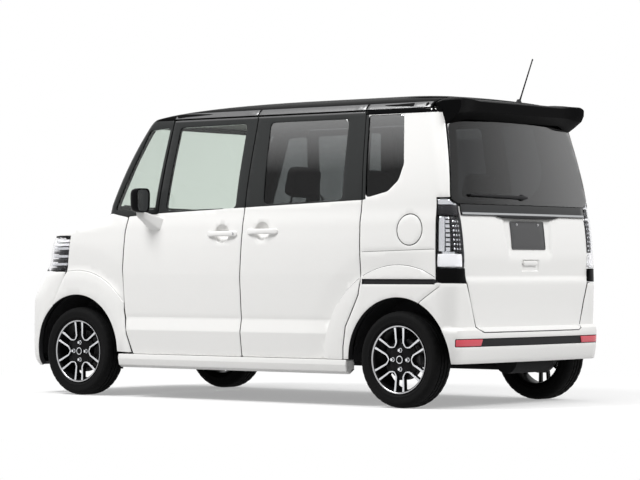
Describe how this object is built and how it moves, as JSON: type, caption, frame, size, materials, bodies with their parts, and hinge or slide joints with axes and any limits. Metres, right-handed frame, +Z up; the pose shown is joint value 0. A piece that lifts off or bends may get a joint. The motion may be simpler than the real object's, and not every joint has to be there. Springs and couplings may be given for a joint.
{
  "type": "kei car",
  "caption": "Tall boxy kei car with hinged front doors, sliding rear doors, a lifting tailgate and steered front wheels.",
  "frame": {"origin": "on the ground below the middle of the body's length and width", "axes": "+X forward, +Y to the car's left, +Z up"},
  "size_m": [3.3947, 1.7342, 1.9742],
  "materials": {
    "body_white": "pearl white clear-coated paint",
    "gloss_black": "gloss black paint",
    "clear_glass": "clear green-tinted glass",
    "dark_glass": "dark privacy glass",
    "lamp_lens": "clear lamp lens over bright reflectors",
    "smoked_chrome": "smoked bright trim",
    "black_plastic": "grained black plastic",
    "underbody": "matt black underbody paint",
    "bare_steel": "bare steel",
    "engine_metal": "cast aluminium",
    "seat_cloth": "dark woven seat cloth",
    "tyre_rubber": "black tyre rubber",
    "alloy": "black paint with machined faces"
  },
  "bodies": {
    "body": {"floor_pan": "underbody", "roof": "gloss_black", "a_pillars": "gloss_black", "b_pillars": "black_plastic", "quarter_panel_left": "body_white", "quarter_panel_right": "body_white", "windscreen": "clear_glass", "front_quarter_glass": "clear_glass", "rear_quarter_glass": "dark_glass", "sliding_door_left": "body_white", "sliding_door_right": "body_white", "sliding_door_glass": "dark_glass", "sliding_door_handles": "body_white", "fenders": "body_white", "cowl": "black_plastic", "front_bumper": "body_white", "grille": "black_plastic", "headlamps": "lamp_lens", "rear_bumper": "body_white", "tail_lamps": "lamp_lens", "side_sills": "body_white", "dashboard": "black_plastic", "front_seats": "seat_cloth", "rear_seat": "seat_cloth", "engine_block": "engine_metal", "fuel_tank": "underbody", "exhaust": "bare_steel", "front_suspension": "underbody", "rear_axle": "underbody", "antenna": "black_plastic", "front_wipers": "black_plastic"},
    "front_left_door": {"front_door_left": "body_white", "front_door_glass_left": "clear_glass", "mirror_left": "gloss_black", "door_handle_left": "body_white"},
    "front_right_door": {"front_door_right": "body_white", "front_door_glass_right": "clear_glass", "mirror_right": "gloss_black", "door_handle_right": "body_white"},
    "bonnet": {"bonnet": "body_white"},
    "tailgate": {"tailgate": "body_white", "tailgate_glass": "dark_glass", "spoiler": "gloss_black", "garnish": "smoked_chrome", "plate_holder": "black_plastic", "rear_wiper": "black_plastic"},
    "fuel_lid": {"fuel_lid": "body_white"},
    "knuckle_left": {"knuckle_left": "bare_steel"},
    "knuckle_right": {"knuckle_right": "bare_steel"},
    "steering_wheel": {"steering_wheel": "black_plastic"},
    "wheel_front_left": {"tyre_front_left": "tyre_rubber", "rim_front_left": "alloy"},
    "wheel_front_right": {"tyre_front_right": "tyre_rubber", "rim_front_right": "alloy"},
    "wheel_rear_left": {"tyre_rear_left": "tyre_rubber", "rim_rear_left": "alloy"},
    "wheel_rear_right": {"tyre_rear_right": "tyre_rubber", "rim_rear_right": "alloy"}
  },
  "joints": [
    {"name": "steer_left", "type": "hinge", "parent": "body", "child": "knuckle_left", "pos_m": [1.176, 0.58, 0.266], "axis": [0, 0, 1], "range_deg": [-35, 35]},
    {"name": "steer_right", "type": "hinge", "parent": "body", "child": "knuckle_right", "pos_m": [1.176, -0.58, 0.266], "axis": [0, 0, 1], "range_deg": [-35, 35]},
    {"name": "steering_wheel_turn", "type": "hinge", "parent": "body", "child": "steering_wheel", "pos_m": [0.43, -0.33, 0.985], "axis": [-0.8829, 0, 0.4695], "range_deg": [-490, 490]},
    {"name": "spin_front_left", "type": "hinge", "parent": "knuckle_left", "child": "wheel_front_left", "pos_m": [1.176, 0.648, 0.266], "axis": [0, 1, 0], "continuous": true},
    {"name": "spin_front_right", "type": "hinge", "parent": "knuckle_right", "child": "wheel_front_right", "pos_m": [1.176, -0.648, 0.266], "axis": [0, 1, 0], "continuous": true},
    {"name": "spin_rear_left", "type": "hinge", "parent": "body", "child": "wheel_rear_left", "pos_m": [-1.284, 0.648, 0.266], "axis": [0, 1, 0], "continuous": true},
    {"name": "spin_rear_right", "type": "hinge", "parent": "body", "child": "wheel_rear_right", "pos_m": [-1.284, -0.648, 0.266], "axis": [0, 1, 0], "continuous": true},
    {"name": "door_left", "type": "hinge", "parent": "body", "child": "front_left_door", "pos_m": [0.792, 0.738, 0.7], "axis": [0, 0, -1], "range_deg": [0, 65]},
    {"name": "door_right", "type": "hinge", "parent": "body", "child": "front_right_door", "pos_m": [0.792, -0.738, 0.7], "axis": [0, 0, 1], "range_deg": [0, 65]},
    {"name": "tailgate_lift", "type": "hinge", "parent": "body", "child": "tailgate", "pos_m": [-1.443, 0, 1.718], "axis": [0, 1, 0], "range_deg": [0, 80]},
    {"name": "bonnet_lift", "type": "hinge", "parent": "body", "child": "bonnet", "pos_m": [1.02, 0, 1.1], "axis": [0, -1, 0], "range_deg": [0, 50]},
    {"name": "fuel_lid_swing", "type": "hinge", "parent": "body", "child": "fuel_lid", "pos_m": [-1.277, 0.7235, 0.978], "axis": [0, 0, -1], "range_deg": [0, 90]}
  ],
  "couplings": [
    {"joint": "steer_right", "follows": "steer_left", "ratio": 1},
    {"joint": "steering_wheel_turn", "follows": "steer_left", "ratio": 14}
  ]
}
